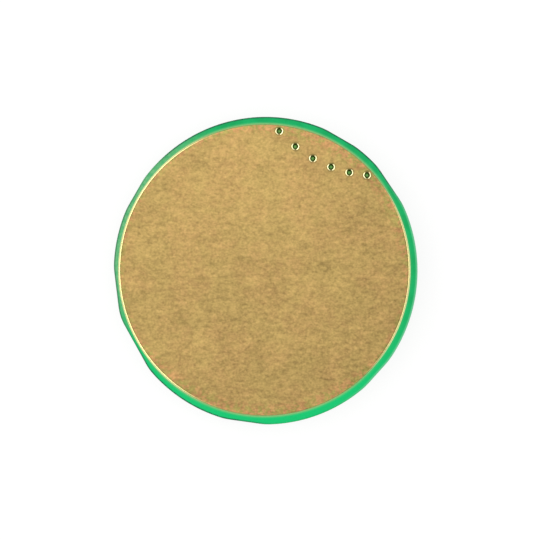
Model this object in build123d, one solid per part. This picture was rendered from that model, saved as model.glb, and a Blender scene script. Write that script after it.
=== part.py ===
from build123d import *

import math
import os
from collections import namedtuple

# A round protection board for one lithium cell, in millimetres.
#
# One side is a single gold-plated contact pad, the protected cell's new negative end. Six plated
# vias along a shallow arc carry its current through the laminate to the other side, where a
# protection IC, two dual MOSFETs, two resistors and a capacitor are soldered.
#
# Frame: +Z is the outward normal of the contact pad, on the board's axis. The origin is on that
# axis, in the plane of the three package tops, which the board rests on.
#
# The component side is laid out in its own frame (U, V, W), as it is seen from that side: W is
# out of the laminate, V is +Y and U is -X. on_component_side() puts what is made there in place.

# ---------------------------------------------------------------- board
board_diameter = 16.05
board_ovality = 0.20  # how much taller the outline is, along Y, than it is wide
laminate_thickness = 0.80
copper_thickness = 0.07
mask_thickness = 0.03
legend_thickness = 0.015
mask_edge_radius = 0.02  # rounding of the mask at the board's edge
# Direction in degrees from +X, and depth, of each flat left where a panel tab was trimmed off.
trimmed_flats = (
    (34, 0.08),
    (60, 0.05),
    (150, 0.05),
    (187, 0.08),
    (209, 0.13),
    (262, 0.07),
    (318, 0.05),
)

# ---------------------------------------------------------------- contact pad and vias
copper_pullback = 0.355  # outline to copper, across the width
contact_shift_x = -0.07  # how far the contact artwork printed off the outline's centre
contact_shift_y = 0.03
contact_edge_radius = 0.06
contact_mask_gap = 0.01  # between the contact pad and the mask around it

via_count = 6
via_hole_radius = 0.15
via_wall = 0.03
via_mouth_radius = 0.065  # rounding where the contact pad runs into a via
via_arc_radius = 6.95  # the vias stand on this arc, which bulges towards the board's centre
via_arc_direction = 63.3  # degrees from +X, from the pad's centre to the arc's centre
via_arc_depth = 1.245  # pad's edge to the arc's innermost point
via_edge_web = 0.13  # pad's edge to the first and last via's hole
via_pitch_taper = 0.108  # first pitch is larger than the mean by this share, last one smaller
via_ring = 0.20  # copper left around each via on the component side
via_plug_depth = 0.20  # contact face down to the mask that plugs each via

# ---------------------------------------------------------------- component side artwork
track_width = 0.25
copper_clearance = 0.20
mask_opening_margin = 0.05  # mask opening beyond a solder land
land_toe = 0.25  # solder land beyond the tip of a lead
land_heel = 0.15  # solder land behind a lead's foot
land_side = 0.09  # solder land beyond each side of a lead

# ---------------------------------------------------------------- packages and chips
package_height = 1.10  # from the feet to the top
package_standoff = 0.10
package_draft = 8.0  # degrees
package_corner_radius = 0.08
pin_mark_radius = 0.22
pin_mark_depth = 0.04
pin_mark_inset = 0.50
lead_embed = 0.25  # length of each lead inside the moulding
lead_bend_radius = 0.12
lead_rake = 0.10  # how far a lead runs outwards as it drops to its foot
solder_gap = 0.02  # solder between a land and what stands on it
solder_climb_share = 0.9  # how far solder climbs a lead's foot, of the lead's thickness
solder_crest = 0.02  # solder left beside a foot at the top of its slope

# body_length and pitch run along the columns of leads, body_width and lead_span across them.
Package = namedtuple(
    "Package",
    "body_length body_width lead_span lead_width lead_thickness pitch foot_length",
)
six_lead = Package(2.90, 1.60, 2.80, 0.40, 0.15, 0.95, 0.38)
eight_lead = Package(3.00, 4.40, 6.40, 0.22, 0.13, 0.65, 0.55)

Chip = namedtuple("Chip", "length width height cap_length land_length land_pitch")
resistor_chip = Chip(1.60, 0.80, 0.45, 0.30, 0.80, 1.50)
capacitor_chip = Chip(1.60, 0.80, 0.80, 0.35, 0.80, 1.50)
cap_wall = 0.03  # thickness of a chip's metal end caps
glaze_thickness = 0.025  # coating on top of a resistor
glaze_lap = 0.04  # how far the coating stays clear of each end cap
chip_land_margin = 0.05  # solder land beyond each side of a chip
chip_fillet_share = 0.6  # how far solder climbs a chip's end, of its height

# ---------------------------------------------------------------- placement, in U and V
protection_ic_at = (0.0, 3.7)
mosfet_1_at = (-0.6, -1.0)
mosfet_gap = 0.40  # between the two MOSFETs' bodies
sense_resistor_gap = 0.10  # from the protection IC's lands to the resistor's
filter_capacitor_gap = 0.65  # from the protection IC's lands to the capacitor's
supply_resistor_gap = 0.55  # from the capacitor's lower land to the resistor's lands
discharge_track_u = 0.0
supply_track_inset = 0.05  # from the capacitor's centre line to the supply track
battery_negative_low_v = -3.5
battery_negative_high_v = 0.7
battery_negative_gap = 1.25  # from the MOSFETs' lands
battery_positive_low_v = 1.85
battery_positive_high_v = 3.35
battery_positive_gap = 0.25  # from the supply resistor's land
battery_land_edge_margin = 0.40  # from the copper's edge to the battery lands' outer corners
pour_gap = 0.40  # between the two pours, and from a pour to the second MOSFET's body
pack_pour_above_ic = 2.0  # from the protection IC's centre up to the pack pour
pack_pour_past_ic = 0.6  # how far the pack pour runs past the protection IC's centre
cell_pour_below_ic = 2.5  # from the protection IC's centre down to the cell pour

# ---------------------------------------------------------------- derived heights and radii
board_width = board_diameter - board_ovality / 2
board_height = board_diameter + board_ovality / 2
component_face_z = package_height + solder_gap + copper_thickness
contact_face_z = component_face_z + laminate_thickness
contact_top_z = contact_face_z + copper_thickness
copper_radius = min(board_width, board_height) / 2 - copper_pullback
via_drill_radius = via_hole_radius + via_wall
seat_w = copper_thickness + solder_gap
over_copper = copper_thickness + mask_thickness
far = 2 * max(board_width, board_height)  # past the outline everywhere
Land = namedtuple("Land", "u v width height")  # any rectangle of copper, mask or legend


def slab(face, low, high):
    """The flat face made solid from one height to another."""
    return Pos(0, 0, low) * extrude(face, high - low)


def on_component_side(shape):
    """Turns a shape from the (U, V, W) frame over onto the board's component face."""
    return Pos(0, 0, component_face_z) * Rot(0, 180, 0) * shape


# ---------------------------------------------------------------- outline, pad and vias


def outline(grow=0.0, from_component_side=False):
    """The board's routed outline, moved outwards by grow."""
    half_x, half_y = board_width / 2 + grow, board_height / 2 + grow
    face = Ellipse(half_x, half_y)
    for direction, depth in trimmed_flats:
        turn = 180 - direction if from_component_side else direction
        angle = math.radians(direction)
        reach = math.hypot(half_x * math.cos(angle), half_y * math.sin(angle)) - depth
        face -= Rot(0, 0, turn) * Pos(reach + far / 2, 0) * Rectangle(far, far)
    return face


def via_places():
    """The vias' centres in X and Y, along their arc."""
    centre_distance = copper_radius - via_arc_depth + via_arc_radius
    end_distance = copper_radius - via_edge_web - via_hole_radius
    half_span = math.acos(
        (centre_distance**2 + via_arc_radius**2 - end_distance**2)
        / (2 * centre_distance * via_arc_radius)
    )
    facing = math.radians(via_arc_direction)
    arc_x = contact_shift_x + centre_distance * math.cos(facing)
    arc_y = contact_shift_y + centre_distance * math.sin(facing)
    mean_pitch = 2 * half_span / (via_count - 1)
    last = via_count - 2
    angle = facing + math.pi - half_span
    places = []
    for index in range(via_count):
        places.append(
            (
                arc_x + via_arc_radius * math.cos(angle),
                arc_y + via_arc_radius * math.sin(angle),
            )
        )
        angle += mean_pitch * (1 + via_pitch_taper * (last - 2 * index) / last)
    return places


def holes(radius, low, high, from_component_side=False):
    """One round plug for each via, between two heights."""
    side = -1 if from_component_side else 1
    places = [Pos(side * x, y) for x, y in via_places()]
    return [slab(place * Circle(radius), low, high) for place in places]


def laminate():
    board = slab(outline(), component_face_z, contact_face_z)
    return board - holes(via_drill_radius, component_face_z, contact_face_z)


def top_circles(shape):
    """The shape's uppermost round edges, smallest first."""
    return shape.edges().filter_by(GeomType.CIRCLE).group_by(Axis.Z)[-1].sort_by(SortBy.RADIUS)


def within(radius, wall):
    """A rounding's radius, kept inside the thickness of its wall."""
    return min(radius, 0.95 * wall)


def contact_pad():
    """The gold-plated face, with its rim and the mouths of the vias rounded."""
    centre = Pos(contact_shift_x, contact_shift_y)
    pad = slab(centre * Circle(copper_radius), contact_face_z, contact_top_z)
    pad -= holes(via_hole_radius, contact_face_z, contact_top_z)
    edge_radius = within(contact_edge_radius, copper_thickness)
    pad = fillet(top_circles(pad)[-1], edge_radius)
    mouth_wall = min(copper_thickness, via_edge_web - edge_radius)
    return fillet(top_circles(pad)[:via_count], within(via_mouth_radius, mouth_wall))


def contact_side_mask():
    """The ring of green mask between the contact pad and the board's edge."""
    top = contact_face_z + mask_thickness
    ring = slab(outline(), contact_face_z, top)
    rim = ring.edges().group_by(Axis.Z)[-1]
    ring = fillet(rim, within(mask_edge_radius, mask_thickness))
    window = Pos(contact_shift_x, contact_shift_y) * Circle(copper_radius + contact_mask_gap)
    return ring - slab(window, contact_face_z, top)


def via_barrel(x, y):
    """One via's plated wall, from the component side's copper up to the contact pad."""
    ring = Circle(via_drill_radius) - Circle(via_hole_radius)
    return slab(Pos(x, y) * ring, component_face_z - copper_thickness, contact_face_z)


# ---------------------------------------------------------------- lands, chips and tracks


def between(u_low, u_high, v_low, v_high):
    """A rectangle given by its sides."""
    return Land((u_low + u_high) / 2, (v_low + v_high) / 2, u_high - u_low, v_high - v_low)


def left_of(land):
    return land.u - land.width / 2


def right_of(land):
    return land.u + land.width / 2


def bottom_of(land):
    return land.v - land.height / 2


def spot(land):
    return (land.u, land.v)


def package_lands(package, at, left_pins, right_pins):
    """Solder lands by pin number. Each column's pins are listed from the top down."""
    length = land_toe + package.foot_length + land_heel
    offset = package.lead_span / 2 + land_toe - length / 2
    width = package.lead_width + 2 * land_side
    lands = {}
    for side, pins in ((-1, left_pins), (1, right_pins)):
        for row, pin in enumerate(pins):
            v = at[1] + ((len(pins) - 1) / 2 - row) * package.pitch
            lands[pin] = Land(at[0] + side * offset, v, length, width)
    return lands


def chip_lands(chip, at, upright=False):
    """A chip's two solder lands: left and right, or lower and upper if it stands upright."""
    across = chip.width + 2 * chip_land_margin
    lands = []
    for side in (-1, 1):
        step = side * chip.land_pitch / 2
        if upright:
            lands.append(Land(at[0], at[1] + step, across, chip.land_length))
        else:
            lands.append(Land(at[0] + step, at[1], chip.land_length, across))
    return lands


def track(*points):
    """Straight runs of track between points, each run along U or V."""
    return [
        Land(
            (u0 + u1) / 2,
            (v0 + v1) / 2,
            abs(u1 - u0) + track_width,
            abs(v1 - v0) + track_width,
        )
        for (u0, v0), (u1, v1) in zip(points, points[1:])
    ]


def battery_land(u_low, v_low, v_high):
    """A bare land from u_low out to the copper's edge, less its margin."""
    corner_v = max(abs(v_low), abs(v_high))
    u_high = math.sqrt((copper_radius - battery_land_edge_margin) ** 2 - corner_v**2)
    return between(u_low, u_high, v_low, v_high)


# Parts placed from their neighbours' lands.
mosfet_2_at = (mosfet_1_at[0], mosfet_1_at[1] - eight_lead.body_length - mosfet_gap)
ic = package_lands(six_lead, protection_ic_at, (1, 2, 3), (6, 5, 4))
fet_1 = package_lands(eight_lead, mosfet_1_at, (5, 6, 7, 8), (4, 3, 2, 1))
fet_2 = package_lands(eight_lead, mosfet_2_at, (5, 6, 7, 8), (4, 3, 2, 1))
chip_half_across = resistor_chip.width / 2 + chip_land_margin
chip_half_along = (resistor_chip.land_pitch + resistor_chip.land_length) / 2
sense_resistor_at = (left_of(ic[2]) - sense_resistor_gap - chip_half_along, ic[2].v)
filter_capacitor_at = (
    right_of(ic[5]) + filter_capacitor_gap + capacitor_chip.width / 2 + chip_land_margin,
    ic[5].v + capacitor_chip.land_pitch / 2,
)
filter_supply_land, filter_ground_land = chip_lands(
    capacitor_chip, filter_capacitor_at, upright=True
)
supply_track_u = filter_supply_land.u + supply_track_inset
supply_resistor_at = (
    supply_track_u + resistor_chip.land_pitch / 2,
    bottom_of(filter_supply_land) - supply_resistor_gap - chip_half_across,
)
sense_pack_land, sense_ic_land = chip_lands(resistor_chip, sense_resistor_at)
supply_ic_land, supply_cell_land = chip_lands(resistor_chip, supply_resistor_at)
battery_negative = battery_land(
    right_of(fet_1[1]) + battery_negative_gap, battery_negative_low_v, battery_negative_high_v
)
battery_positive = battery_land(
    right_of(supply_cell_land) + battery_positive_gap,
    battery_positive_low_v,
    battery_positive_high_v,
)
solder_lands = [
    *ic.values(),
    *fet_1.values(),
    *fet_2.values(),
    sense_pack_land,
    sense_ic_land,
    supply_ic_land,
    supply_cell_land,
    filter_supply_land,
    filter_ground_land,
]

via_land_radius = via_drill_radius + via_ring
via_lands = [Land(-x, y, 2 * via_land_radius, 2 * via_land_radius) for x, y in via_places()]

# Pours are unions of rectangles, cut to a disc and kept clear of every other net.
below_mosfets = mosfet_2_at[1] - eight_lead.body_length / 2 - pour_gap
above_ic = protection_ic_at[1] + pack_pour_above_ic
below_ic = protection_ic_at[1] - cell_pour_below_ic
past_ic = protection_ic_at[0] + pack_pour_past_ic
pack_negative_pour = [
    between(-far, right_of(fet_1[6]) - land_heel, -far, far),
    between(-far, past_ic, above_ic, far),
    between(-far, mosfet_2_at[0] - pour_gap, -far, below_mosfets),
]
cell_negative_pour = [
    between(left_of(fet_1[3]) + land_heel, far, -far, below_ic),
    between(mosfet_2_at[0], far, -far, below_mosfets),
]
ground_link = track(
    (supply_resistor_at[0], below_ic - track_width),
    (supply_resistor_at[0], filter_ground_land.v),
    spot(filter_ground_land),
)
ground_pin_v = (ic[6].v + bottom_of(filter_ground_land)) / 2
ground_pin_link = track((ic[6].u, ground_pin_v), (filter_ground_land.u, ground_pin_v))

# Every net but the two pours: its lands and tracks.
nets = {
    "discharge_gate_copper": [
        *track(spot(ic[1]), (discharge_track_u, ic[1].v), (discharge_track_u, fet_2[4].v)),
        *track((discharge_track_u, fet_1[4].v), spot(fet_1[4])),
        *track((discharge_track_u, fet_2[4].v), spot(fet_2[4])),
        ic[1],
        fet_1[4],
        fet_2[4],
    ],
    "charge_gate_copper": [
        *track(spot(ic[3]), (ic[3].u, fet_2[5].v)),
        *track((ic[3].u, fet_1[5].v), spot(fet_1[5])),
        *track((ic[3].u, fet_2[5].v), spot(fet_2[5])),
        ic[3],
        fet_1[5],
        fet_2[5],
    ],
    "current_sense_copper": [
        *track(spot(ic[2]), spot(sense_ic_land)),
        ic[2],
        sense_ic_land,
    ],
    "supply_copper": [
        *track(spot(ic[5]), (supply_track_u, ic[5].v), spot(supply_ic_land)),
        ic[5],
        filter_supply_land,
        supply_ic_land,
    ],
    "cell_positive_copper": [
        *track(spot(supply_cell_land), (battery_positive.u, supply_cell_land.v)),
        supply_cell_land,
        battery_positive,
    ],
    "spare_pin_copper": [ic[4], fet_1[1], fet_1[8], fet_2[1], fet_2[8]],
}
pack_negative_lands = [fet_1[6], fet_1[7], fet_2[6], fet_2[7], sense_pack_land]
cell_negative_lands = [
    fet_1[2],
    fet_1[3],
    fet_2[2],
    fet_2[3],
    ic[6],
    filter_ground_land,
    *ground_link,
    *ground_pin_link,
]


def rectangle(land, grow=0.0):
    return Pos(land.u, land.v) * Rectangle(land.width + 2 * grow, land.height + 2 * grow)


def union(lands, grow=0.0):
    return Sketch() + [rectangle(land, grow) for land in lands]


def pour(areas, own_lands, other_lands, grow):
    """A pour's face, moved outwards by grow."""
    keep_out = union(other_lands, copper_clearance - grow)
    poured = (union(areas, grow) & Circle(copper_radius + grow)) - keep_out
    return poured + union(own_lands, grow)


def artwork(grow=0.0):
    """Every net's copper face by name, moved outwards by grow."""
    signals = [land for lands in nets.values() for land in lands]
    faces = {name: union(lands, grow) for name, lands in nets.items()}
    via_rings = [Pos(land.u, land.v) * Circle(via_land_radius + grow) for land in via_lands]
    not_cell_negative = signals + pack_negative_lands + via_lands
    faces["pack_negative_copper"] = (
        pour(pack_negative_pour, pack_negative_lands, signals + cell_negative_lands, grow)
        + via_rings
    )
    faces["cell_negative_copper"] = pour(
        cell_negative_pour, cell_negative_lands, not_cell_negative, grow
    )
    return faces


def copper_pieces():
    """Each net's copper, with the two battery lands as pieces of their own."""
    pieces = {name: slab(face, 0, copper_thickness) for name, face in artwork().items()}
    barrels = holes(via_drill_radius, 0, copper_thickness, from_component_side=True)
    pieces["pack_negative_copper"] -= barrels
    for name, net, land in (
        ("battery_negative_land", "cell_negative_copper", battery_negative),
        ("battery_positive_land", "cell_positive_copper", battery_positive),
    ):
        pieces[name] = slab(rectangle(land), 0, copper_thickness)
        pieces[net] -= pieces[name]
    return pieces


def component_side_mask():
    """Green mask that follows the copper beneath it, open over every land. It plugs the vias."""
    raised = Sketch() + list(artwork(mask_thickness).values())
    bare = Sketch() + list(artwork().values())
    windows = union(solder_lands, mask_opening_margin) + union([battery_negative, battery_positive])
    low = slab(outline(from_component_side=True) - bare - windows, 0, mask_thickness)
    walls = slab(raised - bare - windows, 0, over_copper)
    roof = slab(raised - windows, copper_thickness, over_copper)
    plug_low = via_plug_depth - laminate_thickness
    plugs = holes(via_hole_radius, plug_low, copper_thickness, from_component_side=True)
    return low + walls + roof + plugs


# ---------------------------------------------------------------- packages


def lead(package):
    """One gull-wing lead to the right, its foot on W = 0 and its width centred on V = 0."""
    half = package.lead_thickness / 2
    tip = package.lead_span / 2
    ankle = tip - package.foot_length
    exit_w = (package_height + package_standoff) / 2
    path = FilletPolyline(
        (package.body_width / 2 - lead_embed, exit_w),
        (ankle - lead_rake, exit_w),
        (ankle, half),
        (tip, half),
        radius=lead_bend_radius,
    )
    strip = Plane.XZ * trace(path, package.lead_thickness)
    return extrude(strip, package.lead_width / 2, both=True)


def lead_places(package, rows):
    """Where each lead goes: the right column as it is, the left one turned half round."""
    steps = [((rows - 1) / 2 - row) * package.pitch for row in range(rows)]
    return [Rot(0, 0, turn) * Pos(0, step) for turn in (0, 180) for step in steps]


def lead_solder(package):
    """The solder around one lead's foot, sloping from its land up to the lead."""
    tip = package.lead_span / 2
    heel = tip - package.foot_length
    low, high = -solder_gap, solder_climb_share * package.lead_thickness
    along = Polygon(
        (heel - land_heel, low),
        (tip + land_toe, low),
        (tip + solder_crest, high),
        (heel - solder_crest, high),
        align=None,
    )
    half_low = package.lead_width / 2 + land_side
    half_high = package.lead_width / 2 + solder_crest
    across = Polygon(
        (-half_low, low), (half_low, low), (half_high, high), (-half_high, high), align=None
    )
    ridge = extrude(Plane.XZ * along, package.lead_span, both=True)
    return (ridge & extrude(Plane.YZ * across, far)) - lead(package)


def package_pieces(package, rows, at, pin_one_side):
    """A moulded body, its leads and their solder, in the (U, V, W) frame. pin_one_side gives
    the signs of U and V at pin 1's corner."""
    half = (package_height - package_standoff) / 2
    plan = RectangleRounded(package.body_width, package.body_length, package_corner_radius)
    cap = extrude(plan, half, taper=package_draft)
    body = Pos(0, 0, package_standoff + half) * (cap + Rot(180, 0, 0) * cap)
    mark_u = pin_one_side[0] * (package.body_width / 2 - pin_mark_inset)
    mark_v = pin_one_side[1] * (package.body_length / 2 - pin_mark_inset)
    mark = Pos(mark_u, mark_v) * Circle(pin_mark_radius)
    body -= slab(mark, package_height - pin_mark_depth, package_height)
    places = lead_places(package, rows)
    leads = [place * lead(package) for place in places]
    solder = [place * lead_solder(package) for place in places]
    seat = Pos(at[0], at[1], seat_w)
    return (
        seat * (body - leads),
        [seat * one for one in leads],
        [seat * one for one in solder],
    )


# ---------------------------------------------------------------- chips


def chip_pieces(chip, at, upright=False, wrapped_sides=False):
    """A chip's ceramic body, two end caps and their solder. A capacitor's caps wrap its sides."""
    side_wall = cap_wall if wrapped_sides else 0
    centre = Pos(0, 0, chip.height / 2)
    body = centre * Box(
        chip.length - 2 * cap_wall, chip.width - 2 * side_wall, chip.height - 2 * cap_wall
    )
    caps, solder = [], []
    for turn in (0, 180):
        block = centre * Pos((chip.length - chip.cap_length) / 2, 0) * Box(
            chip.cap_length, chip.width, chip.height
        )
        caps.append(Rot(0, 0, turn) * (block - body))
        inner = (chip.land_pitch - chip.land_length) / 2
        profile = Polygon(
            (inner, -solder_gap),
            (inner + chip.land_length, -solder_gap),
            (chip.length / 2, chip_fillet_share * chip.height),
            (chip.length / 2, 0),
            (inner, 0),
            align=None,
        )
        solder.append(Rot(0, 0, turn) * extrude(Plane.XZ * profile, chip.width / 2, both=True))
    seat = Pos(at[0], at[1], seat_w) * Rot(0, 0, 90 if upright else 0)
    return seat * body, [seat * one for one in caps], [seat * one for one in solder]


def resistor_glaze(chip, at):
    """The dark coating over a resistor's film, between its end caps."""
    length = chip.length - 2 * (chip.cap_length + glaze_lap)
    top = chip.height - cap_wall
    coat = slab(Rectangle(length, chip.width - 2 * glaze_lap), top, top + glaze_thickness)
    return Pos(at[0], at[1], seat_w) * coat


# ---------------------------------------------------------------- legend

legend_line = 0.12
legend_gap = 0.12  # between a part's outline and its legend line
legend_stroke = 0.22  # the polarity signs' line width
legend_sign = 0.80  # the polarity signs' size
plus_gap = 0.75  # from the positive land to the middle of its sign
minus_gap = 0.55  # from the negative land to the middle of its sign
chip_line_share = 0.55  # of a chip's width
pin_dot_radius = 0.14
ic_dot_step = (-0.75, 0.25)  # from the protection IC's pin 1 land
mosfet_dot_step = (0.10, -0.55)  # from each MOSFET's pin 1 land


def lines_beside(at, step_u, step_v, width, height):
    """Two lines on opposite sides of a part."""
    return [Land(at[0] + s * step_u, at[1] + s * step_v, width, height) for s in (-1, 1)]


def pin_dot(land, step):
    return Pos(land.u + step[0], land.v + step[1]) * Circle(pin_dot_radius)


def legend_marks():
    """Polarity signs, part outlines and pin 1 dots, as one flat face."""
    plus = (battery_positive.u, battery_positive.v + battery_positive.height / 2 + plus_gap)
    minus = (battery_negative.u, battery_negative.v - battery_negative.height / 2 - minus_gap)
    chip_line = chip_line_share * resistor_chip.width
    beside_chip = chip_half_across + legend_gap
    ic_end = six_lead.body_length / 2 + legend_gap
    fet_end = eight_lead.body_length / 2 + legend_gap
    strokes = [
        Land(*plus, legend_sign, legend_stroke),
        Land(*plus, legend_stroke, legend_sign),
        Land(*minus, legend_sign, legend_stroke),
        *lines_beside(sense_resistor_at, 0, beside_chip, chip_line, legend_line),
        *lines_beside(supply_resistor_at, 0, beside_chip, chip_line, legend_line),
        *lines_beside(filter_capacitor_at, beside_chip, 0, legend_line, chip_line),
        *lines_beside(protection_ic_at, 0, ic_end, six_lead.body_width, legend_line),
        Land(mosfet_1_at[0], mosfet_1_at[1] + fet_end, eight_lead.body_width, legend_line),
        Land(mosfet_2_at[0], mosfet_2_at[1] - fet_end, eight_lead.body_width, legend_line),
    ]
    dots = [
        pin_dot(ic[1], ic_dot_step),
        pin_dot(fet_1[1], mosfet_dot_step),
        pin_dot(fet_2[1], mosfet_dot_step),
    ]
    return union(strokes) + dots


def legend():
    """The white legend, lying on the mask where it is low and where copper raises it."""
    marks = legend_marks()
    raised = Sketch() + list(artwork(mask_thickness).values())
    windows = union(solder_lands, mask_opening_margin) + union([battery_negative, battery_positive])
    low = slab(marks - raised - windows, mask_thickness, mask_thickness + legend_thickness)
    high = slab((marks & raised) - windows, over_copper, over_copper + legend_thickness)
    return low + high


# ---------------------------------------------------------------- the whole board


def component_side_pieces():
    """Everything on the component side by name, in the (U, V, W) frame."""
    pieces = {"component_side_mask": component_side_mask(), "legend": legend()}
    pieces.update(copper_pieces())
    for name, package, rows, at, pin_one_side in (
        ("protection_ic", six_lead, 3, protection_ic_at, (-1, 1)),
        ("mosfet_1", eight_lead, 4, mosfet_1_at, (1, -1)),
        ("mosfet_2", eight_lead, 4, mosfet_2_at, (1, -1)),
    ):
        body, leads, solder = package_pieces(package, rows, at, pin_one_side)
        pieces[f"{name}_body"] = body
        pieces[f"{name}_leads"] = leads
        pieces[f"{name}_solder"] = solder
    for name, chip, at, upright, wrapped in (
        ("supply_resistor", resistor_chip, supply_resistor_at, False, False),
        ("sense_resistor", resistor_chip, sense_resistor_at, False, False),
        ("filter_capacitor", capacitor_chip, filter_capacitor_at, True, True),
    ):
        body, caps, solder = chip_pieces(chip, at, upright, wrapped)
        pieces[f"{name}_body"] = body
        pieces[f"{name}_end_caps"] = caps
        pieces[f"{name}_solder"] = solder
    pieces["supply_resistor_glaze"] = resistor_glaze(resistor_chip, supply_resistor_at)
    pieces["sense_resistor_glaze"] = resistor_glaze(resistor_chip, sense_resistor_at)
    return pieces


def solids_of(shape):
    """The separate solids of one shape, or of a list of shapes."""
    shapes = shape if isinstance(shape, list) else [shape]
    return [solid for one in shapes for solid in one.solids()]


def build():
    """Every piece by name, each as a list of solids in the board's frame."""
    pieces = {
        "laminate": laminate(),
        "contact_pad": contact_pad(),
        "contact_side_mask": contact_side_mask(),
    }
    for number, (x, y) in enumerate(via_places(), 1):
        pieces[f"via_barrel_{number}"] = via_barrel(x, y)
    placed = {name: solids_of(shape) for name, shape in pieces.items()}
    for name, shape in component_side_pieces().items():
        placed[name] = [on_component_side(solid) for solid in solids_of(shape)]
    return placed


def main():
    os.makedirs("parts", exist_ok=True)
    for name, solids in build().items():
        export_step(Compound(solids), f"parts/{name}.step")


main()
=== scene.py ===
import math

import bmesh
import bpy
import numpy as np
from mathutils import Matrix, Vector
from mathutils.geometry import delaunay_2d_cdt


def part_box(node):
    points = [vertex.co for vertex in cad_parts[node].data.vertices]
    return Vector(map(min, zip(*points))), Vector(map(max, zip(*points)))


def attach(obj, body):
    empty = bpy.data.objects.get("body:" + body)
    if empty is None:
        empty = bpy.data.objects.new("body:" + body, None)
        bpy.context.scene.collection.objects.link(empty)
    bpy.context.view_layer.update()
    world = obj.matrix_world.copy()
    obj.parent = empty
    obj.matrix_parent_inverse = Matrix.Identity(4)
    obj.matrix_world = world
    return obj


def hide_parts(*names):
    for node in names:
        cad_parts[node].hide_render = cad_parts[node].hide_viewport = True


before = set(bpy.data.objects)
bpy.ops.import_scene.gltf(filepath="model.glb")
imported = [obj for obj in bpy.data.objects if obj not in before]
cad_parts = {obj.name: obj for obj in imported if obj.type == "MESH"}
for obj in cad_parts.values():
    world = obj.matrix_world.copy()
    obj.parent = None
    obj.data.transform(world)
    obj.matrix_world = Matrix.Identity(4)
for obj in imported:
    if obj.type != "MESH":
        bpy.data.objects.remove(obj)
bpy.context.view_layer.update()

# A round battery protection board, lying on its three packages with the gold contact face up.
# Lengths here are millimetres, in the row frame. MM turns them into metres.
MM = 0.001

# ---- shape, as part.py has it
OUTLINE_HALF = (7.975, 8.075)  # the outline's half width and half height
TRIMMED_FLATS = (  # direction in degrees from +X, depth
    *((34, 0.08), (60, 0.05), (150, 0.05), (187, 0.08)),
    *((209, 0.13), (262, 0.07), (318, 0.05)),
)
VIA_COUNT = 6
PACKAGES = {  # a foot's length, a lead's thickness
    "protection_ic": (0.38, 0.15),
    "mosfet_1": (0.55, 0.13),
    "mosfet_2": (0.55, 0.13),
}
CHIPS = ("supply_resistor", "sense_resistor", "filter_capacitor")
VIA_WALL = 0.03  # the plating in a via

ROUND_STEPS = 720  # points around the board
VIA_STEPS = 64  # points around a via
SAME_PLACE = 1e-4  # points nearer than this are one point
RIM_SHARES = (0.98, 0.998)  # points further out than this share of the furthest are on the rim
CORNER_ANGLE = math.radians(30)  # faces that meet more sharply than this have an edge between them


def corners(node):
    """A CAD node's box, in millimetres."""
    low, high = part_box(node)
    return low / MM, high / MM


def node_triangles(node):
    """A CAD node's vertices in millimetres, merged where they meet, and its triangles."""
    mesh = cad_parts[node].data
    mesh.calc_loop_triangles()
    points = np.array([vertex.co for vertex in mesh.vertices]) / MM
    keys, index = np.unique(np.round(points, 5), axis=0, return_inverse=True)
    index = index.reshape(-1)
    triangles = np.array([index[list(tri.vertices)] for tri in mesh.loop_triangles])
    return keys, triangles


def islands(node):
    """The box of each separate solid in a CAD node, in order of x and then y."""
    points, triangles = node_triangles(node)
    parent = list(range(len(points)))

    def root(one):
        while parent[one] != one:
            parent[one] = parent[parent[one]]
            one = parent[one]
        return one

    for a, b, c in triangles:
        parent[root(a)] = root(b)
        parent[root(b)] = root(c)
    groups = {}
    for one in set(triangles.reshape(-1).tolist()):
        groups.setdefault(root(one), []).append(one)
    boxes = [(points[g].min(0), points[g].max(0)) for g in groups.values()]
    return sorted(boxes, key=lambda box: (round(box[0][0], 3), round(box[0][1], 3)))


def circle_of(node):
    """Centre and radius of the largest circle that a CAD node stands on."""
    points, _ = node_triangles(node)
    lowest = points[points[:, 2] < points[:, 2].min() + SAME_PLACE]
    x, y, _ = (lowest.min(0) + lowest.max(0)) / 2
    for share in RIM_SHARES:
        away = np.hypot(lowest[:, 0] - x, lowest[:, 1] - y)
        rim = lowest[away > share * away.max()]
        sums = np.column_stack([2 * rim[:, 0], 2 * rim[:, 1], np.ones(len(rim))])
        x, y, rest = np.linalg.lstsq(sums, (rim[:, :2] ** 2).sum(1), rcond=None)[0]
    return (float(x), float(y)), math.sqrt(rest + x * x + y * y)


pad_centre, pad_radius = circle_of("contact_pad")
via_places = [circle_of(f"via_barrel_{index + 1}") for index in range(VIA_COUNT)]
contact_face = corners("contact_pad")[0].z
contact_top = corners("contact_pad")[1].z
component_face = corners("laminate")[0].z
ring_top = corners("contact_side_mask")[1].z
barrel_foot = corners("via_barrel_1")[0].z
via_radius = via_places[0][1] - VIA_WALL


# ---- mesh helpers


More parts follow.
